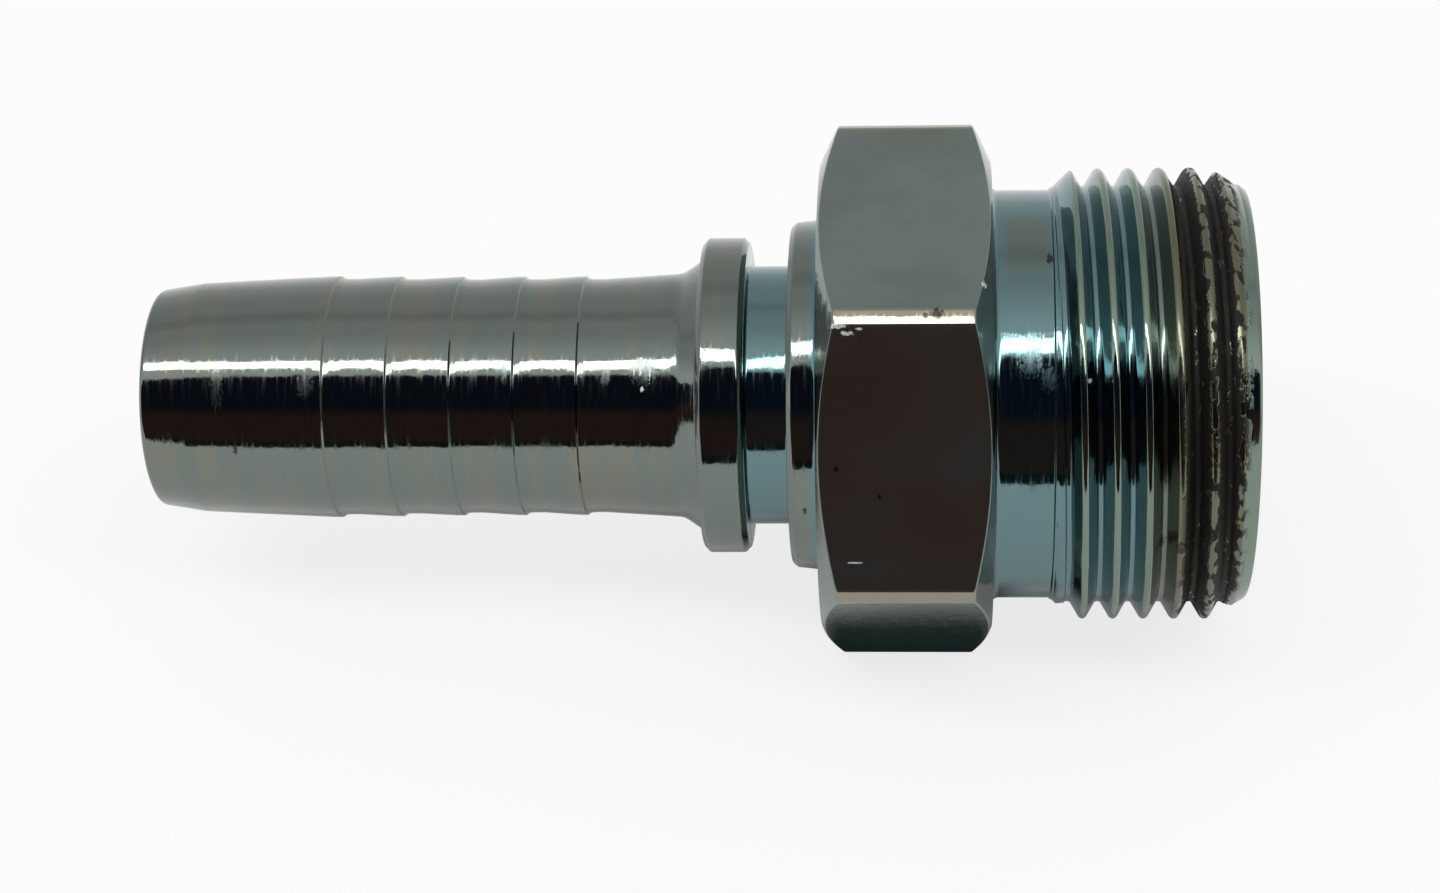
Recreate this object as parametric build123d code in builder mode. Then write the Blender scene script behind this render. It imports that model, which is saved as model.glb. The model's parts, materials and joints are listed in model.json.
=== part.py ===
from build123d import *
import os
from math import cos, pi, radians, tan

# A hydraulic hose tail, turned in one piece from hexagon bar. From the tip it has a barbed tail
# for a 5/8 inch hose, two collars with the groove between them that locks the crimped ferrule,
# the spanner hexagon, a relieved neck, and an M30 x 2 stud with a 24 degree cone seat.
# It lies along X on one flat of the hexagon: the tip is at X = 0 and the stud points to +X.
# Sizes are in millimetres and degrees, widths run along the axis, heights and depths across it.

# Barbed tail
barb_diameter = 16.0
barb_depth = 0.18
barb_count = 5
barb_pitch = 4.16
barb_crest_width = 0.5
barb_back_width = 0.35
barb_root_width = 0.9
tip_to_first_barb = 12.2
tip_drop = 0.75
tip_wall = 1.0
tip_edge_break = 0.4
lead_in_width = 3.0
lead_in_drop = 0.4

# Plain shank and the flare that stops the hose
shank_ramp_width = 2.9
shank_width = 2.45
shank_rise = 0.15
flare_width = 1.3
flare_height = 0.95
flare_hollow_radius = 1.5

# Collars and the ferrule groove between them
locking_collar_width = 3.05
locking_collar_height = 2.35
ferrule_groove_width = 2.8
ferrule_groove_depth = 1.9
stop_collar_width = 2.0
stop_collar_height = 2.9
collar_edge_break = 0.35
stop_collar_root_chamfer = 0.45

# Spanner hexagon
hexagon_width = 11.1
hexagon_shoulder_height = 1.93
faced_ring_inset = 0.4
corner_chamfer_angle = 25.0

# Neck and stud
stud_width = 16.6
thread_diameter = 30.0
neck_width = 3.75
neck_fillet_radius = 0.45
neck_relief_depth = 1.48
run_out_angle = 40.0
lead_chamfer_width = 2.5
lead_chamfer_angle = 30.0
end_edge_break = 0.25

# Tube socket and cone seat in the end of the stud
end_land_width = 2.1
seat_depth = 6.35
seat_included_angle = 24.0
socket_depth = 4.0

# Radii that follow
barb_radius = barb_diameter / 2
barb_root_radius = barb_radius - barb_depth
tip_radius = barb_radius - tip_drop
lead_in_radius = barb_radius - lead_in_drop
bore_radius = tip_radius - tip_wall
shank_radius = barb_radius + shank_rise
flare_radius = shank_radius + flare_height
locking_collar_radius = shank_radius + locking_collar_height
groove_radius = locking_collar_radius - ferrule_groove_depth
stop_collar_radius = groove_radius + stop_collar_height
thread_radius = thread_diameter / 2
neck_radius = thread_radius - neck_relief_depth
faced_ring_radius = neck_radius + hexagon_shoulder_height
flat_radius = faced_ring_radius + faced_ring_inset
corner_radius = flat_radius / cos(pi / 6)
end_radius = thread_radius - lead_chamfer_width * tan(radians(lead_chamfer_angle))
seat_mouth_radius = end_radius - end_land_width
socket_radius = seat_mouth_radius - seat_depth * tan(radians(seat_included_angle / 2))

# Stations along the axis that follow, from the tip
barb_crests = [tip_to_first_barb + i * barb_pitch for i in range(barb_count)]
shank_ramp_start = barb_crests[-1] + barb_back_width + barb_root_width
shank_start = shank_ramp_start + shank_ramp_width
flare_start = shank_start + shank_width
locking_collar_start = flare_start + flare_width
groove_start = locking_collar_start + locking_collar_width
stop_collar_start = groove_start + ferrule_groove_width
hexagon_start = stop_collar_start + stop_collar_width
neck_start = hexagon_start + hexagon_width
run_out_start = neck_start + neck_width
thread_start = run_out_start + neck_relief_depth / tan(radians(run_out_angle))
end_face = neck_start + stud_width
seat_bottom = end_face - seat_depth
socket_bottom = seat_bottom - socket_depth
corner_setback = (corner_radius - faced_ring_radius) * tan(radians(corner_chamfer_angle))


def barb_outline(crest):
    """A barb from its crest's start: a narrow crest, a short steep back and a root."""
    root = crest + barb_back_width
    return [
        (crest - barb_crest_width, barb_radius),
        (crest, barb_radius),
        (root, barb_root_radius),
        (root + barb_root_width, barb_root_radius),
    ]


with BuildPart() as threaded_hose_tail:
    # The hexagon bar, with its corners turned back to a faced ring at both ends
    with BuildSketch(Plane.YZ.offset(hexagon_start)):
        RegularPolygon(flat_radius, side_count=6, major_radius=False)
    extrude(amount=hexagon_width)
    with BuildSketch(Plane.XZ):
        with BuildLine():
            Polyline(
                (hexagon_start, 0),
                (hexagon_start, faced_ring_radius),
                (hexagon_start + corner_setback, corner_radius),
                (neck_start - corner_setback, corner_radius),
                (neck_start, faced_ring_radius),
                (neck_start, 0),
                close=True,
            )
        make_face()
    revolve(axis=Axis.X, mode=Mode.INTERSECT)

    # What is turned round the axis: tail, collars, neck, and the stud at its thread's diameter
    with BuildSketch(Plane.XZ) as turned:
        with BuildLine():
            Polyline(
                (0, 0),
                (0, tip_radius),
                (lead_in_width, lead_in_radius),
                *[point for crest in barb_crests for point in barb_outline(crest)],
                (shank_start, barb_radius),
                (flare_start, shank_radius),
                (locking_collar_start, flare_radius),
                (locking_collar_start, locking_collar_radius),
                (groove_start, locking_collar_radius),
                (groove_start, groove_radius),
                (stop_collar_start, groove_radius),
                (stop_collar_start, stop_collar_radius),
                (hexagon_start, stop_collar_radius),
                (hexagon_start, faced_ring_radius),
                (neck_start, faced_ring_radius),
                (neck_start, neck_radius),
                (run_out_start, neck_radius),
                (thread_start, thread_radius),
                (end_face - lead_chamfer_width, thread_radius),
                (end_face, end_radius),
                (end_face, 0),
                close=True,
            )
        make_face()
        for station, radius, edge_break in [
            (0, tip_radius, tip_edge_break),
            (locking_collar_start, locking_collar_radius, collar_edge_break),
            (groove_start, locking_collar_radius, collar_edge_break),
            (stop_collar_start, stop_collar_radius, collar_edge_break),
            (end_face, end_radius, end_edge_break),
            (hexagon_start, stop_collar_radius, stop_collar_root_chamfer),
        ]:
            chamfer(turned.vertices().sort_by_distance((station, radius))[0], edge_break)
        for station, radius, fillet_radius in [
            (flare_start, shank_radius, flare_hollow_radius),
            (neck_start, neck_radius, neck_fillet_radius),
        ]:
            fillet(turned.vertices().sort_by_distance((station, radius))[0], fillet_radius)
    revolve(axis=Axis.X)

    # The bore from the tip, the tube socket and the cone seat that opens at the stud's end
    with BuildSketch(Plane.XZ):
        with BuildLine():
            Polyline(
                (0, 0),
                (0, bore_radius),
                (socket_bottom, bore_radius),
                (socket_bottom, socket_radius),
                (seat_bottom, socket_radius),
                (end_face, seat_mouth_radius),
                (end_face, 0),
                close=True,
            )
        make_face()
    revolve(axis=Axis.X, mode=Mode.SUBTRACT)

threaded_hose_tail.part.label = "threaded_hose_tail"

os.makedirs("parts", exist_ok=True)
export_step(threaded_hose_tail.part, "parts/threaded_hose_tail.step")
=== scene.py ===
import json
import math

import bmesh
import bpy
import numpy as np
from mathutils import Matrix, Vector


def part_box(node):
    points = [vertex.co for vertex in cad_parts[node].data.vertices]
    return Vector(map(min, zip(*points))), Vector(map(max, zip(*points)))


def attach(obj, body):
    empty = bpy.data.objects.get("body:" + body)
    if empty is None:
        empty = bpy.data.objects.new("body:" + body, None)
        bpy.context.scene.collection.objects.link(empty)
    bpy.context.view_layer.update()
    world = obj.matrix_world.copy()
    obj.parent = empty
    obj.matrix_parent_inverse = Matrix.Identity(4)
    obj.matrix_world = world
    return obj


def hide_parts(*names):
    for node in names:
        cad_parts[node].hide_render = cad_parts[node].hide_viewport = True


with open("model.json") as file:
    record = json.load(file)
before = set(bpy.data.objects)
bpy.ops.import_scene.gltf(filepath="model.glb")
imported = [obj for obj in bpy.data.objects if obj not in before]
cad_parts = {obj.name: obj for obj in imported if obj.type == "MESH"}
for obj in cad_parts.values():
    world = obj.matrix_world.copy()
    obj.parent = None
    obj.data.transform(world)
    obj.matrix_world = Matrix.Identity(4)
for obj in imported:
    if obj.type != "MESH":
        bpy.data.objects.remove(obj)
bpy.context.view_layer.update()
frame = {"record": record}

# ---- The fitting's axis ----
# The fitting is turned in one piece from hexagon steel bar, so one closed skin stands for it.
# The skin is a stack of rings round the X axis, listed from the tip on in millimetres. Every ring
# has the same columns, closer together where the hexagon has its corners.

MM = 0.001
mounts = {mount["name"]: mount for mount in frame["record"]["mounts"]}
low, high = (Vector(corner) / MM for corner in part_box("threaded_hose_tail"))
end_face = high.x
flat_height = high.z

corner_angle = 60
corner_columns = (0, 1.3, 1.55)
side_spacing = 1.8
side_columns = [3 + step * side_spacing for step in range(31)]
mirrored_columns = [corner_angle - angle for angle in corner_columns[:0:-1]]
sector = [*corner_columns, *side_columns, *mirrored_columns]
columns = np.radians([corner * corner_angle + angle for corner in range(6) for angle in sector])
around = np.ones(len(columns))
rings = []


def rounded(corners, steps=5):
    """The outline through (station, radius, round) corners, with an arc of that round at each."""
    points = [np.array(corners[0][:2], float)]
    for before, here, after in zip(corners, corners[1:], corners[2:]):
        corner = np.array(here[:2], float)
        back = np.array(before[:2], float) - corner
        ahead = np.array(after[:2], float) - corner
        back /= np.hypot(*back)
        ahead /= np.hypot(*ahead)
        half = math.acos(max(-1, min(1, back @ ahead))) / 2
        reach = here[2] / math.tan(half)
        if reach < 1e-6:
            points.append(corner)
            continue
        middle = corner + (back + ahead) / np.hypot(*(back + ahead)) * here[2] / math.sin(half)
        first = corner + back * reach - middle
        last = corner + ahead * reach - middle
        sweep = math.pi - 2 * half
        for step in range(steps + 1):
            share = step / steps
            turned = math.sin((1 - share) * sweep) * first + math.sin(share * sweep) * last
            points.append(middle + turned / math.sin(sweep))
    points.append(np.array(corners[-1][:2], float))
    return points


def blended(first, second, softness):
    """The smaller of two radii, with a soft edge where they cross."""
    share = np.clip(0.5 + (second - first) / (2 * softness), 0, 1)
    return second * (1 - share) + first * share - softness * share * (1 - share)


# ---- The barbed tail ----
# The hose is pushed over this end and gripped by five low barbs. They are turned with a form
# tool: each has a long ramp, a narrow crest and a short steep back towards the hexagon. Behind
# them the shank flares out, which stops the hose.

bore_radius = mounts["flow_bore"]["dims"]["r_mm"]
bore_edge = 0.15
tip_radius = 7.25
tip_round = 0.42
lead_in = (3.0, 7.72, 2.0)
barb_radii = (8.12, 8.07, 8.02, 8.01, 8.0)
barb_pitch = 4.16
first_crest = 12.2
shank_start = 33.0
shank_round = 3.0
shank_radius = 8.15
flare_start = 35.35
flare_hollow = 1.5
flare_end = 36.75
flare_radius = 9.1
flare_lip = 0.15
flare_lip_drop = 0.1
flare_lip_round = 0.2

# A barb's corners: the distance from its crest, the drop below it, and the round
barb_corners = [
    (-0.5, 0, 0.8),
    (0, 0, 0.04),
    (0.12, 0.13, 0.05),
    (0.5, 0.18, 0.8),
    (1.25, 0.18, 2.0),
]

tail = [(0, bore_radius + bore_edge, 0), (0, tip_radius, tip_round), lead_in]
for barb, barb_radius in enumerate(barb_radii):
    crest = first_crest + barb * barb_pitch
    tail += [(crest + along, barb_radius - drop, edge) for along, drop, edge in barb_corners]
tail += [
    (shank_start, barb_radius, shank_round),
    (flare_start, shank_radius, flare_hollow),
    (flare_end - flare_lip, flare_radius - flare_lip_drop, flare_lip_round),
    (flare_end, flare_radius, 0),
]
rings += [(station * around, radius * around) for station, radius in rounded(tail)]

# ---- The collars ----
# The crimped ferrule locks into the groove between these two collars. They are turned with the
# tail. Their outer edges are broken, and the tool's nose leaves a small hollow in the corners.

locking_collar_radius = 10.5
groove_start = 39.8
groove_radius = 8.6
groove_end = 42.6
stop_collar_radius = 11.55
stop_collar_taper = 0.05
stop_collar_swell = 0.12
hexagon_start = 44.59
edge_break = 0.36
edge_round = 0.25
wall_round = 0.12
wall_lean = 0.01
front_wall_lean = 0.03
corner_hollow = 0.22
last_hollow = 0.42
face_lean = 0.001

front_seam = (hexagon_start + face_lean, stop_collar_radius + 1.0, 0)
collars = [
    (flare_end, flare_radius, 0),
    (flare_end + front_wall_lean, locking_collar_radius - edge_break, wall_round),
    (flare_end + edge_break, locking_collar_radius, edge_round),
    (groove_start - edge_break, locking_collar_radius, edge_round),
    (groove_start - wall_lean, locking_collar_radius - edge_break, wall_round),
    (groove_start, groove_radius, corner_hollow),
    (groove_end, groove_radius, corner_hollow),
    (groove_end + wall_lean, stop_collar_radius - edge_break, wall_round),
    (groove_end + edge_break, stop_collar_radius - stop_collar_taper, edge_round),
    (hexagon_start, stop_collar_radius + stop_collar_swell, last_hollow),
    front_seam,
]
rings += [(station * around, radius * around) for station, radius in rounded(collars)]

# ---- The spanner hexagon ----
# This is the bar itself. Its six corners are turned to a narrow land, and both its ends are
# turned back at 25 degrees, which leaves the arcs at the ends of the flats.

hexagon_end = 55.74
land_radius = 18.05
land_softness = 0.01
faced_ring = flat_height - 0.4
ring_round = 0.1
front_round = 0.25
back_round = 0.2
end_slope = math.tan(math.radians(25))
half_flat = math.radians(corner_angle / 2)
off_corner = np.abs((columns + half_flat) % (2 * half_flat) - half_flat)
bar = blended(flat_height / np.cos(half_flat - off_corner), land_radius, land_softness)

back_seam = (hexagon_end - face_lean, faced_ring - 0.5, 0)
outlines = []
for reach in bar:
    setback = (reach - faced_ring) * end_slope
    outline = [
        front_seam,
        (hexagon_start, faced_ring, ring_round),
        (hexagon_start + setback, reach, front_round),
        (hexagon_end - setback, reach, back_round),
        (hexagon_end, faced_ring, ring_round),
        back_seam,
    ]
    outlines.append(rounded(outline))
rings += [(ring[:, 0], ring[:, 1]) for ring in np.swapaxes(np.array(outlines), 0, 1)]

# ---- The neck ----
# Behind the hexagon the stud is relieved to just under the thread's root, so that the threading
# die can run out. A fine step is left where the relieving tool stopped.

thread_radius = mounts["male_thread"]["dims"]["r_mm"]
neck_relief = 1.48
neck_radius = thread_radius - neck_relief
neck_hollow = 0.45
run_out_start = 59.7
step_height = 0.13
step_start = run_out_start - 0.2
step_end = run_out_start - 0.1
step_radius = neck_radius + step_height

neck = [
    back_seam,
    (hexagon_end, neck_radius, neck_hollow),
    (step_start, neck_radius, 0.1),
    (step_end, step_radius, 0.05),
    (run_out_start, step_radius, 0),
]
rings += [(station * around, radius * around) for station, radius in rounded(neck)]

# ---- The thread ----
# A right-hand metric thread of 2 mm pitch, cut with a die. Its rings follow the helix, so its
# crest and root are clean lines. It fades in on the run-out cone and is cut off by the lead
# chamfer at the end of the stud.

pitch = 2.0
thread_depth = 1.227
flank_slope = math.tan(math.radians(30))
tooth_foot = pitch / 16 + thread_depth * flank_slope
root_round = 0.2
crest_round = 0.3
root_radius = thread_radius - thread_depth
run_out_slope = math.tan(math.radians(43))
lead_slope = math.tan(math.radians(30))
lead_start = end_face - 2.5
thread_end = end_face - 0.2
crest_at_top = end_face - 1.3
top = math.radians(90)
turns_on = 3
thread_softness = 0.05

apex_radius = root_radius + tooth_foot / flank_slope
tooth = [
    (-pitch / 2, root_radius, 0),
    (-tooth_foot, root_radius, root_round),
    (0, apex_radius, crest_round),
    (tooth_foot, root_radius, root_round),
    (pitch / 2, root_radius, 0),
]
tooth = rounded(tooth, steps=4)[:-1]
thread_first = len(rings)
turns_back = math.ceil((crest_at_top - run_out_start) / pitch) + 1
for turn in range(-turns_back, turns_on):
    for offset, radius in tooth:
        helix = crest_at_top + (turn + (columns - top) / math.tau) * pitch + offset
        station = np.clip(helix, run_out_start, thread_end)
        run_out = step_radius + (station - run_out_start) * run_out_slope
        lead = thread_radius - (station - lead_start) * lead_slope
        faded = blended(radius * around, run_out, thread_softness)
        rings.append((station, blended(faded, lead, thread_softness)))
thread_last = len(rings)

# ---- The seat, socket and bore ----
# The stud's end is faced and bored to a 24 degree cone seat, with a tube socket behind it. The
# flow bore is drilled right through to the tip.

socket = mounts["tube_socket"]
socket_radius = socket["dims"]["r_mm"]
socket_middle = socket["pos_m"][0] / MM
socket_half = socket["dims"]["length_mm"] / 2
socket_mouth = socket_middle + socket_half
socket_bottom = socket_middle - socket_half
seat_slope = math.tan(math.radians(12))
seat_radius = socket_radius + (end_face - socket_mouth) * seat_slope
end_radius = thread_radius - (thread_end - lead_start) * lead_slope
end_break = 0.15
bored_round = 0.1

hollow = [
    (thread_end, end_radius, 0),
    (end_face, end_radius - end_break, bored_round),
    (end_face, seat_radius, bored_round),
    (socket_mouth, socket_radius, bored_round),
    (socket_bottom, socket_radius, bored_round),
    (socket_bottom, bore_radius, bored_round),
    (0, bore_radius, bore_edge),
    (0, tip_radius, 0),
]
rings += [(station * around, radius * around) for station, radius in rounded(hollow)[:-1]]

# ---- The skin ----
# All the rings are joined into one closed skin. A ring of the thread closes on the ring one turn
# further on. Where the helix has run off an end its points fall together, and they are merged.

merge_distance = 0.0004
stations = np.array([ring[0] for ring in rings])
radii = np.array([ring[1] for ring in rings])
points = np.stack([stations, radii * np.cos(columns), radii * np.sin(columns)], axis=-1)
count = len(columns)
faces = []
for row in range(len(rings) - 1):
    turn_on = len(tooth) if thread_first <= row < thread_last - len(tooth) - 1 else 0
    for column in range(count):
        corner = row * count + column
        following = (row + turn_on) * count if column == count - 1 else corner + 1
        faces.append((corner, following, following + count, corner + count))

skin = bmesh.new()
corners = [skin.verts.new(point) for point in points.reshape(-1, 3) * MM]
for face in faces:
    skin.faces.new([corners[corner] for corner in face]).smooth = True
bmesh.ops.remove_doubles(skin, verts=skin.verts, dist=merge_distance * MM)
bmesh.ops.dissolve_degenerate(skin, edges=skin.edges, dist=merge_distance * MM)
fitting_mesh = bpy.data.meshes.new("hose_barb_tail")
skin.to_mesh(fitting_mesh)
skin.free()
fitting = bpy.data.objects.new("hose_barb_tail", fitting_mesh)
bpy.context.scene.collection.objects.link(fitting)
smoothing = fitting.modifiers.new("weighted_normals", "WEIGHTED_NORMAL")
smoothing.mode = "FACE_AREA"

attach(fitting, "root")
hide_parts("threaded_hose_tail")

# ---- The plating ----
# The whole part is zinc plated and blue passivated. The plating is thin and mirror-like, and shows
# the streaks of turning and polishing. Two small classes come first, so that it, the floor and
# the studio can be written as formulas.


class Number:
    """A number in a node tree, so that maths on it reads as a formula."""

    def __init__(self, nodes, socket):
        self.nodes = nodes
        self.socket = socket

    def __add__(self, other):
        return self.nodes.maths("ADD", self, other)

    def __radd__(self, other):
        return self.nodes.maths("ADD", other, self)

    def __sub__(self, other):
        return self.nodes.maths("SUBTRACT", self, other)

    def __rsub__(self, other):
        return self.nodes.maths("SUBTRACT", other, self)

    def __mul__(self, other):
        return self.nodes.maths("MULTIPLY", self, other)

    def __rmul__(self, other):
        return self.nodes.maths("MULTIPLY", other, self)

    def __truediv__(self, other):
        return self.nodes.maths("DIVIDE", self, other)

    def __rtruediv__(self, other):
        return self.nodes.maths("DIVIDE", other, self)

    def __pow__(self, other):
        return self.nodes.maths("POWER", self, other)

    def __neg__(self):
        return self.nodes.maths("MULTIPLY", self, -1)

    def __abs__(self):
        return self.nodes.maths("ABSOLUTE", self)


class Nodes:
    """The node tree of a material or of the world."""

    def __init__(self, owner):
        owner.use_nodes = True
        self.tree = owner.node_tree
        self.tree.nodes.clear()

    def add(self, kind, settings, inputs):
        """Adds a node: its settings first, then a value or a link for each named socket."""
        made = self.tree.nodes.new("ShaderNode" + kind)
        for name, setting in settings.items():
            setattr(made, name, setting)
        for name, value in inputs.items():
            value = getattr(value, "socket", value)
            if isinstance(value, bpy.types.NodeSocket):
                self.tree.links.new(value, made.inputs[name])
            else:
                made.inputs[name].default_value = value
        return made

    def maths(self, operation, *terms):
        made = self.add("Math", {"operation": operation}, dict(enumerate(terms)))
        return Number(self, made.outputs["Value"])

    def rise(self, value, start, end):
        """Rises smoothly from 0 to 1 as the value goes from start to end."""
        ramp = {"Value": value, "From Min": start, "From Max": end}
        made = self.add("MapRange", {"interpolation_type": "SMOOTHSTEP"}, ramp)
        return Number(self, made.outputs["Result"])

    def band(self, value, start, end, edge):
        """1 between start and end, and 0 outside, with soft edges of the given width."""
        return self.rise(value, start, start + edge) - self.rise(value, end - edge, end)

    def parts(self, vector):
        """The X, Y and Z of a vector."""
        made = self.add("SeparateXYZ", {}, {"Vector": vector})
        return [Number(self, made.outputs[name]) for name in "XYZ"]

    def vector(self, x, y, z):
        return self.add("CombineXYZ", {}, {"X": x, "Y": y, "Z": z}).outputs["Vector"]

    def place(self):
        """The station along the axis and the two offsets from it, in millimetres."""
        spot = self.add("TexCoord", {}, {}).outputs["Object"]
        return [part / MM for part in self.parts(spot)]

    def noise(self, vector, detail):
        """Noise from 0 to 1, with lumps about 1 wide."""
        made = self.add("TexNoise", {}, {"Vector": vector, "Scale": 1.0, "Detail": detail})
        return Number(self, made.outputs["Fac"])

    def mix(self, share, first, second):
        """A colour that goes from the first to the second as the share goes from 0 to 1."""
        made = self.add("Mix", {"data_type": "RGBA"}, {"Factor": share, 6: first, 7: second})
        return made.outputs[2]

    def output(self, kind, shader):
        self.add(kind, {}, {"Surface": shader})


plating = bpy.data.materials.new("zinc_plating")
nodes = Nodes(plating)
degrees = 180 / math.pi
along, side, up = nodes.place()
radius = (side * side + up * up) ** 0.5
angle = nodes.maths("ARCTAN2", up, -side) * degrees


def grain(across, along_it, detail):
    """Noise with this many lumps to a millimetre across the axis and along it."""
    return nodes.noise(nodes.vector(along * along_it, side * across, up * across), detail)


# The passivation: grey-green with beige bands round the part, and teal in the groove, in the
# corner before the hexagon, and from the neck to the middle of the thread. The neck has a brown
# bloom on top.
zinc = (0.18, 0.21, 0.195, 1)
beige = (0.205, 0.215, 0.18, 1)
teal = (0.145, 0.235, 0.245, 1)
bloom = (0.17, 0.19, 0.155, 1)
bloom_share = 0.75
teal_end = 69
teal_stretches = [
    (groove_start - 0.2, groove_end + 0.1, 0.2),
    (hexagon_start - 0.7, hexagon_start + 0.1, 0.3),
    (hexagon_end - 0.1, teal_end, 0.2),
]
clouds = grain(0.2, 0.12, 4)
colour = nodes.mix(nodes.rise(grain(0.06, 0.7, 3), 0.45, 0.7), zinc, beige)
for start, end, edge in teal_stretches:
    colour = nodes.mix(nodes.band(along, start, end, edge), colour, teal)
on_neck = nodes.band(along, hexagon_end + 0.5, run_out_start, 0.8)
on_top = nodes.band(angle, 72, 108, 14)
bloomed = bloom_share * on_neck * on_top * nodes.rise(clouds, 0.35, 0.5)
colour = nodes.mix(bloomed, colour, bloom)

# The hexagon: a thin haze from handling, a painted warm reflection on the flat that faces the
# front, and pale rubbed corners
mottled = (0.2, 0.245, 0.23, 1)
painted_reflection_brown = (0.21, 0.185, 0.155, 1)
rubbed = (0.3, 0.29, 0.22, 1)
hexagon_haze = 0.08
painted_reflection_flat = math.radians(30)
on_hexagon = nodes.band(along, hexagon_start, hexagon_end, 0.3)
_, facing_side, facing_up = nodes.parts(nodes.add("TexCoord", {}, {}).outputs["Normal"])
facing = facing_up * math.sin(painted_reflection_flat) - facing_side * math.cos(painted_reflection_flat)
flats = nodes.mix(nodes.rise(clouds, 0.35, 0.6), zinc, mottled)
# Painted reflection: the flat that faces the front is coloured warm brown, as if it mirrored the
# dark brown room
painted_reflection_tone = nodes.mix(nodes.rise(clouds, 0.4, 0.7), painted_reflection_brown, zinc)
colour = nodes.mix(on_hexagon, colour, flats)
colour = nodes.mix(on_hexagon * nodes.rise(facing, 0.985, 0.999), colour, painted_reflection_tone)
on_land = nodes.rise(radius, land_radius - 0.12, land_radius - 0.05)
colour = nodes.mix(on_hexagon * on_land, colour, rubbed)
haze = hexagon_haze * on_hexagon * (0.55 + 0.9 * clouds)

# The thread: worn crests, olive last turns, and black grime between their crests
worn = (0.2, 0.26, 0.215, 1)
olive = (0.16, 0.16, 0.115, 1)
black = (0.008, 0.007, 0.005, 1)
olive_start = 64.5
olive_full = 67.5
olive_end = 71.2
grime_start = 67.2
grime_end = end_face - 0.5
root_limit = 13.0
grit = grain(1, 2, 4)
chamfered = lead_slope * nodes.maths("MAXIMUM", along - lead_start, 0)
on_crest = nodes.rise(radius + chamfered, thread_radius - 0.45, thread_radius - 0.1)
on_thread = nodes.rise(along, run_out_start + 0.4, run_out_start + 1.0)
outside = nodes.rise(radius, root_limit, root_limit + 0.2)
last_turns = nodes.rise(along, olive_start, olive_full) * outside
last_turns = last_turns * (1 - nodes.rise(along, olive_end, olive_end + 0.2))
grime = nodes.band(along, grime_start, grime_end, 0.7) * outside
grime = grime * nodes.rise(grit - 0.2 * on_crest, 0.3, 0.38)
colour = nodes.mix(on_thread * on_crest, colour, worn)
colour = nodes.mix(last_turns, colour, olive)
colour = nodes.mix(grime, colour, black)

# Small marks from use and handling, each by its station, angle, half length and half height
stain = (0.02, 0.018, 0.015, 1)
bare = (0.75, 0.78, 0.76, 1)
stain_share = 0.8
scuff_haze = 0.14
stain_places = [
    (52.2, 60.6, 0.45, 1.4),
    (51.5, 60.2, 0.2, 0.8),
    (45.9, 28, 0.18, 0.8),
    (48.6, 21.5, 0.15, 0.7),
    (43.7, 5, 0.15, 1.6),
    (66.2, 2.5, 0.4, 3.0),
    (67.6, 4, 0.6, 2.4),
    (6.4, 19.5, 0.22, 4.0),
    (59.3, 84, 0.25, 2.0),
]
nick_places = [
    (46.1, 58.3, 0.6, 0.6),
    (46.7, 57.0, 0.45, 0.5),
    (47.4, 57.8, 0.25, 0.3),
    (47.1, 7.2, 0.6, 0.2),
    (33.1, 58, 0.1, 5.0),
    (33.7, 56, 0.07, 6.5),
    (32.7, 58, 0.07, 4.0),
    (33.2, 47.5, 0.16, 1.6),
    (61.6, 48, 0.16, 0.7),
    (55.1, 68.5, 0.18, 0.9),
]
scuff_places = [
    (58.0, 53, 1.0, 4.5),
    (59.1, 49, 0.6, 4.0),
    (5.3, 50, 0.5, 12.0),
    (11.2, 50, 0.7, 6.0),
    (33.2, 56, 1.0, 8.0),
    (30.8, 54, 0.4, 5.0),
    (24.2, 55, 0.3, 6.0),
]
speckle = grain(4, 6, 3)


def marks(places):
    """1 on the given marks and 0 between them, with ragged soft edges."""
    total = 0
    for station, turn, half_length, half_height in places:
        distance = ((along - station) / half_length) ** 2 + ((angle - turn) / half_height) ** 2
        mark = 1 - nodes.rise(distance + 3 * (speckle - 0.5), 0.2, 1)
        total = nodes.maths("MAXIMUM", total, mark)
    return total


stains = marks(stain_places)
nicks = marks(nick_places)
scuffs = marks(scuff_places)
colour = nodes.mix(stain_share * stains, colour, stain)
colour = nodes.mix(nicks, colour, bare)
haze = haze + scuff_haze * scuffs * nodes.rise(grain(0.7, 9, 3), 0.42, 0.62)

# The polish: fine streaks round the part over slight lumps, dull where there is grime or a mark
polish = 0.06
streak_roughness = 0.1
scuff_roughness = 0.12
nick_roughness = 0.3
grime_roughness = 0.45
olive_roughness = 0.1
streak_height = 0.006
lump_height = 0.01
grime_height = 0.1
metal_lost = 0.6
streaks = grain(0.5, 5, 3)
lumps = grain(1, 1.2, 2)
roughness = polish + streak_roughness * nodes.rise(streaks, 0.45, 0.7)
roughness = roughness + scuff_roughness * scuffs + nick_roughness * nicks
roughness = roughness + grime_roughness * grime + olive_roughness * last_turns
height = streak_height * streaks + lump_height * lumps + grime_height * grit * grime
bump = nodes.add("Bump", {}, {"Strength": 1.0, "Distance": MM, "Height": height})
finish = {
    "Base Color": colour,
    "Metallic": 1 - haze - metal_lost * grime - metal_lost * nicks,
    "Roughness": roughness,
    "Normal": bump.outputs["Normal"],
}
nodes.output("OutputMaterial", nodes.add("BsdfPrincipled", {}, finish).outputs["BSDF"])
fitting_mesh.materials.append(plating)

# ---- The floor ----
# A matt white table top, which the part lies on with one flat of its hexagon. The camera sees it
# nearly white, with the part's shadow. In the plating's reflections only, it has a painted dark
# stretch beyond its front edge, which stands in for the dark room, and a painted shadow under the
# hexagon.

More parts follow.
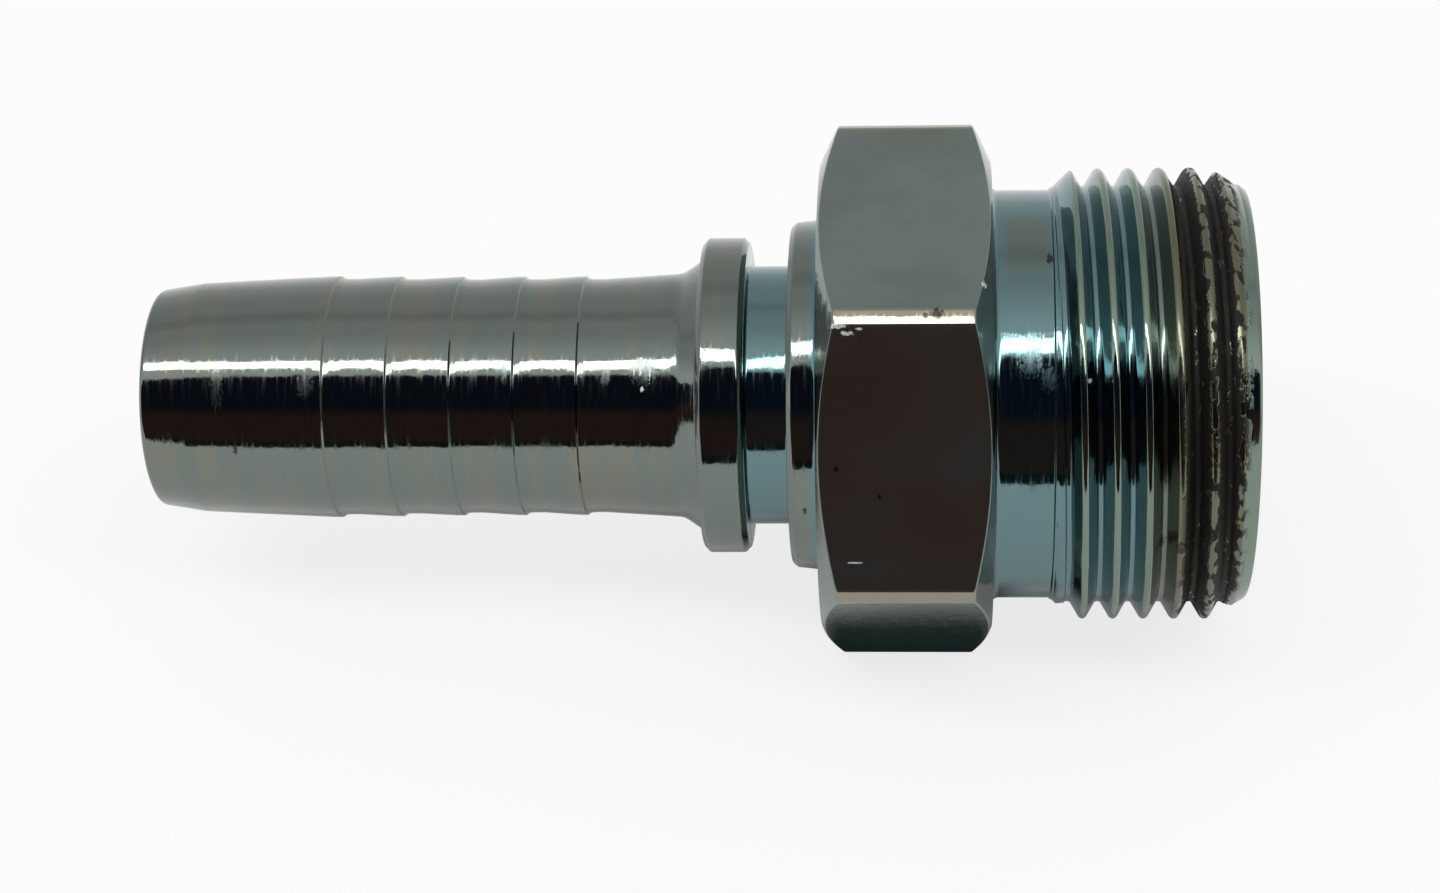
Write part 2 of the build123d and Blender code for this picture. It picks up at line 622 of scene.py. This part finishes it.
floor_reach = 3000
floor_height = low.z
floor_paint = (0.94, 0.94, 0.94, 1)
white_to_camera = 0.8
white_in_metal = 0.2
front_edge = -200
front_spread = 0.76
front_middle = 46
shadow_front = -14.3
shadow_back = 20
shadow_edge = 3.7
painted_dark_tone = (0.01, 0.02, 0.02, 1)

reach = floor_reach * MM
floor_corners = [(-1, -1), (1, -1), (1, 1), (-1, 1)]
floor_points = [(x * reach, y * reach, floor_height * MM) for x, y in floor_corners]
floor_mesh = bpy.data.meshes.new("floor")
floor_mesh.from_pydata(floor_points, [], [(0, 1, 2, 3)])
floor = bpy.data.objects.new("floor", floor_mesh)
bpy.context.scene.collection.objects.link(floor)

paint = bpy.data.materials.new("white_floor")
nodes = Nodes(paint)
rays = nodes.add("LightPath", {}, {})
to_camera = Number(nodes, rays.outputs["Is Camera Ray"])
to_metal = Number(nodes, rays.outputs["Is Glossy Ray"])
along, side, _ = nodes.place()
# Painted shade, seen only by glossy rays: a painted shadow under the hexagon, and a painted dark
# stretch beyond the front edge
under_hexagon = nodes.band(along, hexagon_start - 3, hexagon_end + 3, 4)
painted_shadow = under_hexagon * nodes.band(side, shadow_front, shadow_back, shadow_edge)
spread = abs((along - front_middle) / side)
painted_dark_beyond_front = 1 - nodes.rise(side, front_edge - 10, front_edge + 10)
painted_dark_beyond_front = painted_dark_beyond_front * (1 - nodes.rise(spread, front_spread - 0.04, front_spread + 0.04))
matt = nodes.add("BsdfDiffuse", {}, {"Color": floor_paint})
white = nodes.add("Emission", {}, {"Color": (1, 1, 1, 1), "Strength": 1.0})
painted_dark = nodes.add("Emission", {}, {"Color": painted_dark_tone, "Strength": 1.0})
white_share = white_to_camera * to_camera + white_in_metal * to_metal
lit = nodes.add("MixShader", {}, {0: white_share, 1: matt.outputs[0], 2: white.outputs[0]})
painted_dark_share = to_metal * (painted_shadow + painted_dark_beyond_front)
surface = nodes.add("MixShader", {}, {0: painted_dark_share, 1: lit.outputs[0], 2: painted_dark.outputs[0]})
nodes.output("OutputMaterial", surface.outputs[0])
floor_mesh.materials.append(paint)

# ---- The studio ----
# A pale tent stands round the table. Its front is open to the dark room, and just above that
# opening it is brightest, where a long strip lamp hangs nearly in line with the part. The tent's
# tones go by the lift, which runs in degrees round the part's axis from the front to the back.

front_tone = 1.05
tone_changes = [(-0.4, 74, 112), (-0.12, 118, 128), (0.1, 130, 140), (0.1, 150, 178)]
opening_bottom = -4
opening_top = 66
opening_side = 0.95
room_low = (0.054, 0.03, 0.026, 1)
room_high = (0.011, 0.014, 0.027, 1)

studio = bpy.data.worlds.new("studio")
bpy.context.scene.world = studio
nodes = Nodes(studio)
x, y, z = nodes.parts(nodes.add("TexCoord", {}, {}).outputs["Generated"])
lift = nodes.maths("ARCTAN2", z, -y) * degrees
tone = front_tone
for change, start, end in tone_changes:
    tone = tone + change * nodes.rise(lift, start, end)
tent = nodes.add("CombineColor", {}, {"Red": tone, "Green": tone, "Blue": tone}).outputs["Color"]
opening = nodes.band(lift, opening_bottom, opening_top, 2)
opening = opening * (1 - nodes.rise(abs(x), opening_side, opening_side + 0.04))
room = nodes.mix(nodes.rise(lift, 24, 36), room_low, room_high)
sky = nodes.add("Background", {}, {"Color": nodes.mix(opening, tent, room), "Strength": 1.0})
nodes.output("OutputWorld", sky.outputs["Background"])

strip_length = 2.2
strip_width = 0.155
strip_power = 6.6
strip_shift = 0.04
strip_lift = math.radians(72.2)
strip_tilt = math.radians(-11)
strip_lamp = bpy.data.lights.new("strip", "AREA")
strip_lamp.shape = "RECTANGLE"
strip_lamp.size = strip_length
strip_lamp.size_y = strip_width
strip_lamp.energy = strip_power
strip = bpy.data.objects.new("strip", strip_lamp)
bpy.context.scene.collection.objects.link(strip)
hanging = Matrix.Translation((strip_shift, -math.cos(strip_lift), math.sin(strip_lift)))
hanging = hanging @ Matrix.Rotation(math.pi / 2 - strip_lift, 4, "X")
strip.matrix_world = hanging @ Matrix.Rotation(strip_tilt, 4, "Z")

# ---- The camera ----
# It looks down at the part's side at about 45 degrees, from 21 cm off the axis, with a slight
# turn, nod and roll. Its focal length is in pixels of a frame that is 1440 pixels wide.

camera_distance = 207.5
camera_lift = math.radians(44.85)
camera_station = end_face - 20.4
camera_turn = math.radians(3.916)
camera_nod = math.radians(-0.947)
camera_roll = math.radians(-0.230)
focal_pixels = 3106
frame_pixels = 1440
camera_data = bpy.data.cameras.new("camera")
camera_data.sensor_width = 36
camera_data.lens = camera_data.sensor_width * focal_pixels / frame_pixels
camera = bpy.data.objects.new("camera", camera_data)
bpy.context.scene.collection.objects.link(camera)
stand = Vector((0, -math.cos(camera_lift), math.sin(camera_lift))) * camera_distance
stand.x = camera_station
facing = Matrix.Rotation(math.pi / 2 - camera_lift, 4, "X")
turned = Matrix.Rotation(camera_turn, 4, "Y") @ Matrix.Rotation(camera_nod, 4, "X")
turned = turned @ Matrix.Rotation(camera_roll, 4, "Z")
camera.matrix_world = Matrix.Translation(stand * MM) @ facing @ turned
bpy.context.scene.camera = camera
bpy.context.scene.view_settings.view_transform = "Standard"
